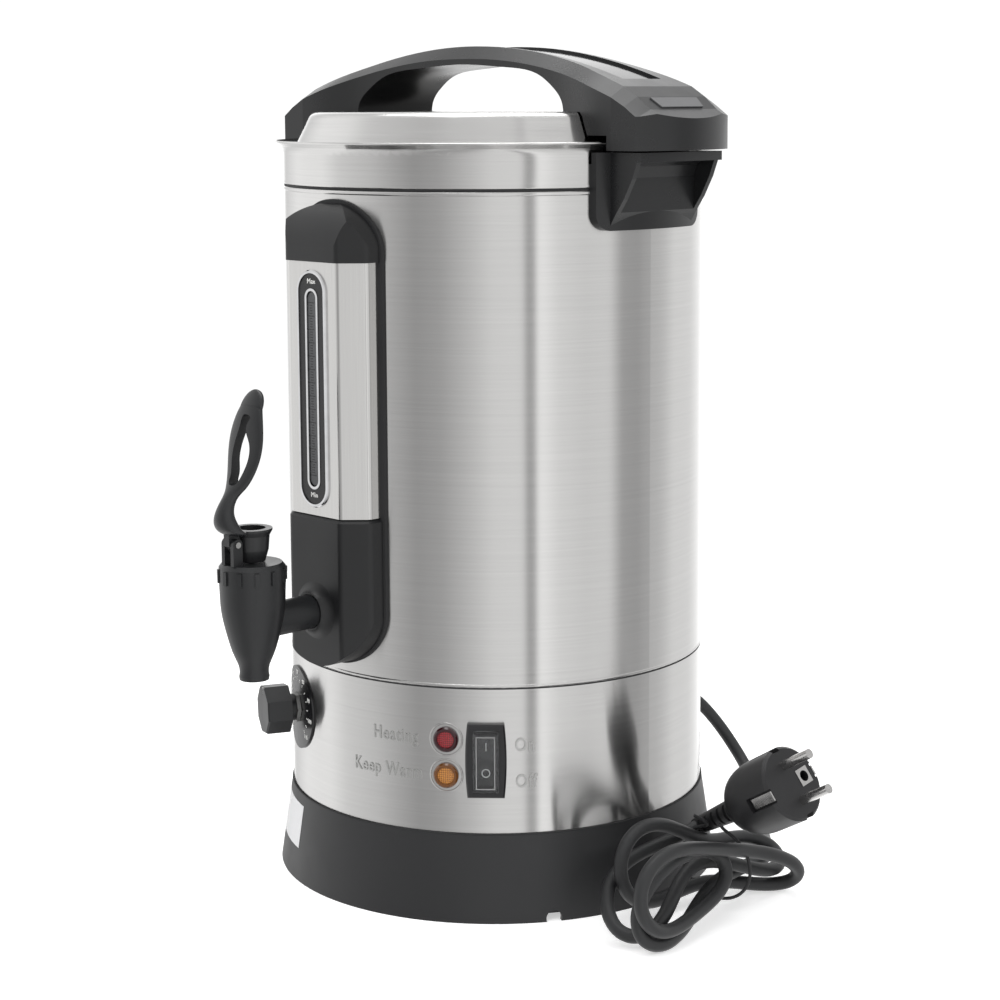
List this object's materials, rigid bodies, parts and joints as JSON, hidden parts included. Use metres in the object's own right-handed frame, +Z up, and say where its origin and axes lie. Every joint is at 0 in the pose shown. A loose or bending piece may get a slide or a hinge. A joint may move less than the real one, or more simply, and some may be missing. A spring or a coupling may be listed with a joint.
{
  "type": "hot water urn",
  "caption": "Electric hot water urn: brushed steel tank on a black base with lever tap, sight gauge, locking lid handle, controls and mains cord.",
  "frame": {"origin": "centre of the base ring, on the surface the urn stands on", "axes": "+Z up along the tank axis; the tap faces -Y; the lid handle runs along X"},
  "size_m": [0.351, 0.3681, 0.4323],
  "materials": {
    "skirt_plastic": "fine satin moulded plastic",
    "tap_plastic": "satin moulded plastic",
    "handle_plastic": "satin moulded plastic",
    "gauge_plastic": "satin moulded plastic",
    "gloss_black": "smooth glossy plastic",
    "steel_body": "horizontal fine brushing",
    "steel_plain": "plain rolled steel",
    "chrome_rim": "polished",
    "zinc": "plated screws",
    "rubber_black": "soft matt rubber",
    "cord_sheath": "dull cable sheath",
    "red_lens": "ribbed clear red plastic lens",
    "amber_lens": "ribbed clear amber plastic lens",
    "clear_glass": "clear glass tube",
    "clear_cover": "clear soft cover",
    "white_plastic": "natural plastic",
    "brass_plain": "plain brass",
    "aluminium_plate": "cast plate",
    "badge_grey": "satin grey plastic"
  },
  "bodies": {
    "body": {"base_skirt": "skirt_plastic", "bottom_cover": "steel_plain", "rubber_feet": "rubber_black", "foot_screws": "zinc", "control_band": "steel_body", "outer_shell": "steel_body", "tank": "steel_body", "heat_plate": "aluminium_plate", "heating_element": "steel_plain", "thermal_cutout": "white_plastic", "thermostat_bulb": "brass_plain", "thermostat_body": "white_plastic", "thermostat_nut": "zinc", "dial_plate": "chrome_rim", "switch_housing": "gloss_black", "switch_boot": "clear_cover", "lamp_red": "red_lens", "lamp_amber": "amber_lens", "lamp_bodies": "white_plastic", "gauge_frame": "rubber_black", "gauge_panel": "steel_body", "gauge_cap": "gauge_plastic", "gauge_lower_cover": "gauge_plastic", "gauge_rim": "chrome_rim", "gauge_face": "gloss_black", "gauge_slot_rim": "chrome_rim", "sight_glass": "clear_glass", "sight_fittings": "white_plastic", "tap_body": "tap_plastic", "tap_washers": "rubber_black", "tap_nut": "brass_plain", "tap_bonnet": "tap_plastic", "lever_pin": "zinc", "tap_spring": "zinc", "bracket_right": "handle_plastic", "bracket_left": "handle_plastic", "bracket_screws": "zinc", "power_cord": "cord_sheath", "cord_gland": "rubber_black", "cord_hank": "cord_sheath", "cord_tie": "gloss_black", "plug_body": "cord_sheath", "plug_pins": "chrome_rim", "plug_earth_clips": "chrome_rim", "terminal_block": "white_plastic", "inner_wiring": "rubber_black"},
    "lid_ring": {"lid_seal": "rubber_black"},
    "lid": {"lid_shell": "steel_body", "lid_handle": "handle_plastic", "handle_inlay": "gloss_black", "handle_badges": "badge_grey", "handle_screws": "zinc"},
    "lever": {"tap_lever": "tap_plastic"},
    "stem": {"tap_stem": "white_plastic", "stem_seal": "rubber_black"},
    "rocker": {"switch_rocker": "gloss_black"},
    "dial": {"dial_knob": "tap_plastic", "thermostat_shaft": "zinc"}
  },
  "joints": [
    {"name": "lid_lift", "type": "slide", "parent": "body", "child": "lid_ring", "axis": [0, 0, 1], "range_m": [0, 0.06]},
    {"name": "lid_turn", "type": "hinge", "parent": "lid_ring", "child": "lid", "pos_m": [0, 0, 0.383], "axis": [0, 0, 1], "range_deg": [0, 25]},
    {"name": "lever_tilt", "type": "hinge", "parent": "body", "child": "lever", "pos_m": [0, -0.178, 0.194], "axis": [1, 0, 0], "range_deg": [0, 22]},
    {"name": "stem_lift", "type": "slide", "parent": "body", "child": "stem", "axis": [0, 0, 1], "range_m": [0, 0.0048], "stiffness_N_per_m": 100, "deforming": ["tap_spring"]},
    {"name": "rocker_tilt", "type": "hinge", "parent": "body", "child": "rocker", "pos_m": [0.07243, -0.07876, 0.0816], "axis": [0.7361, 0.6769, 0], "range_deg": [0, 14]},
    {"name": "dial_turn", "type": "hinge", "parent": "body", "child": "dial", "pos_m": [-0.05071, -0.10876, 0.0895], "axis": [-0.4226, -0.9063, 0], "range_deg": [0, 270]}
  ],
  "couplings": [
    {"joint": "lever_tilt", "follows": "stem_lift", "rad_per_m": 79.9}
  ]
}
